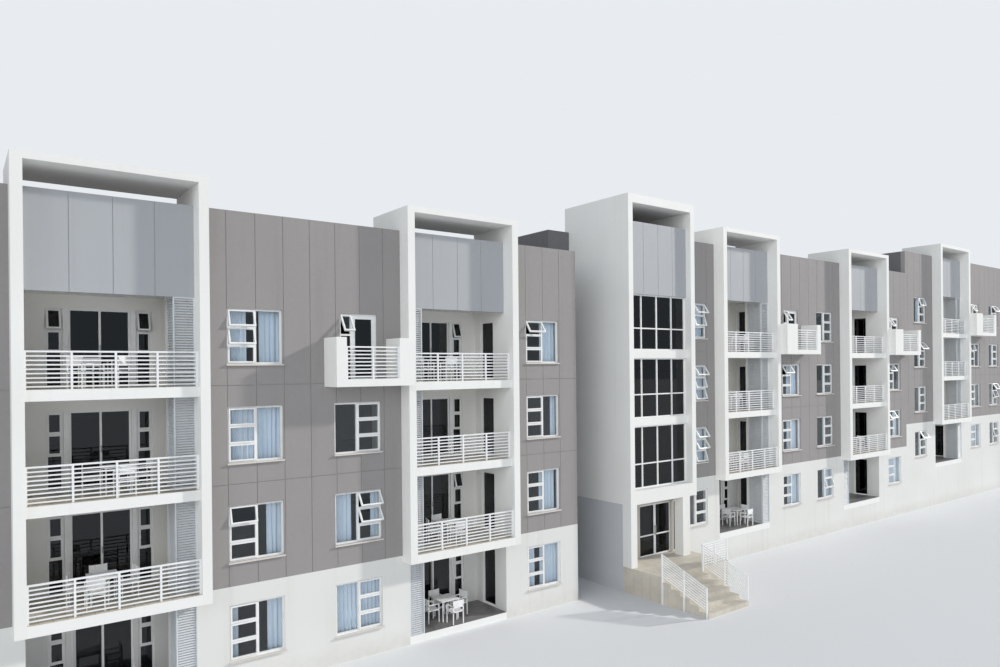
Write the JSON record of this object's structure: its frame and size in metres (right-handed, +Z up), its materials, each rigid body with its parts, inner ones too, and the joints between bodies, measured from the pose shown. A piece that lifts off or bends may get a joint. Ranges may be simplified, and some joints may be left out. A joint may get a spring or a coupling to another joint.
{
  "type": "apartment block, half-size model",
  "caption": "Half-size model of a modern apartment block: stepped terraces, framed balconies, box balconies, glazed stair tower, hinged entrance doors and sliding patio doors.",
  "frame": {"origin": "centre of the bounding box on the ground", "axes": "+X along the street front to the right, +Y from the street front into the building, +Z up"},
  "size_m": [31.1, 7.5, 8.38],
  "materials": {
    "taupe_render": "painted boards and render, matt",
    "grey_render": "painted render, matt",
    "white_render": "painted render, matt",
    "white_paint": "painted concrete, smooth matt",
    "concrete": "bare concrete",
    "roofing": "roofing felt",
    "pale_panel": "coated facing panels, satin",
    "rail_metal": "powder-coated steel",
    "louvre_metal": "coated aluminium blades",
    "white_aluminium": "coated aluminium",
    "glass": "clear window glass",
    "entrance_render": "painted render, matt",
    "stone": "stone paving, honed"
  },
  "bodies": {
    "block": {"front_wall_1": "taupe_render", "front_wall_2": "taupe_render", "front_wall_3": "taupe_render", "front_wall_4": "taupe_render", "front_wall_5": "taupe_render", "front_wall_6": "taupe_render", "front_wall_7": "taupe_render", "front_wall_8": "taupe_render", "plinth_walls": "white_render", "back_walls": "taupe_render", "back_plinths": "white_render", "end_walls": "taupe_render", "step_walls": "taupe_render", "gap_walls": "grey_render", "floors": "concrete", "floor_bays": "concrete", "roofs": "roofing", "roof_bays": "roofing", "frame_fins_1": "white_paint", "frame_fins_2": "white_paint", "frame_fins_3": "white_paint", "frame_fins_4": "white_paint", "frame_fins_5": "white_paint", "frame_tops": "white_paint", "balcony_slabs": "white_paint", "balcony_walls": "grey_render", "patio_side_walls": "white_render", "patio_piers": "white_render", "patio_infills": "white_render", "parapet_panels": "pale_panel", "balcony_railings": "rail_metal", "louvre_screens": "louvre_metal", "duct_walls": "grey_render", "box_balconies": "white_paint", "window_frames": "white_aluminium", "window_glass": "glass", "window_sills": "white_paint", "door_frames": "white_aluminium", "door_glass": "glass", "patio_frames": "white_aluminium", "tower_walls": "white_paint", "tower_base": "taupe_render", "tower_bands": "white_paint", "tower_floors": "concrete", "tower_back_wall": "taupe_render", "tower_bars": "white_aluminium", "tower_glass": "glass", "entrance_columns": "white_paint", "entrance_wall": "entrance_render", "entrance_steps": "stone", "entrance_railings": "rail_metal"},
    "entrance_leaf_left": {"entrance_leaf_left": "white_aluminium"},
    "entrance_leaf_right": {"entrance_leaf_right": "white_aluminium"},
    "patio_leaf_1": {"patio_leaf_1": "white_aluminium"},
    "patio_leaf_2": {"patio_leaf_2": "white_aluminium"},
    "patio_leaf_3": {"patio_leaf_3": "white_aluminium"}
  },
  "joints": [
    {"name": "entrance_leaf_left_hinge", "type": "hinge", "parent": "block", "child": "entrance_leaf_left", "pos_m": [-3.962, -1.435, 1.065], "axis": [0, 0, 1], "range_deg": [0, 90]},
    {"name": "entrance_leaf_right_hinge", "type": "hinge", "parent": "block", "child": "entrance_leaf_right", "pos_m": [-2.998, -1.435, 1.065], "axis": [0, 0, -1], "range_deg": [0, 90]},
    {"name": "patio_leaf_1_slide", "type": "slide", "parent": "block", "child": "patio_leaf_1", "axis": [1, 0, 0], "range_m": [0, 0.32]},
    {"name": "patio_leaf_2_slide", "type": "slide", "parent": "block", "child": "patio_leaf_2", "axis": [1, 0, 0], "range_m": [0, 0.32]},
    {"name": "patio_leaf_3_slide", "type": "slide", "parent": "block", "child": "patio_leaf_3", "axis": [1, 0, 0], "range_m": [0, 0.32]}
  ]
}
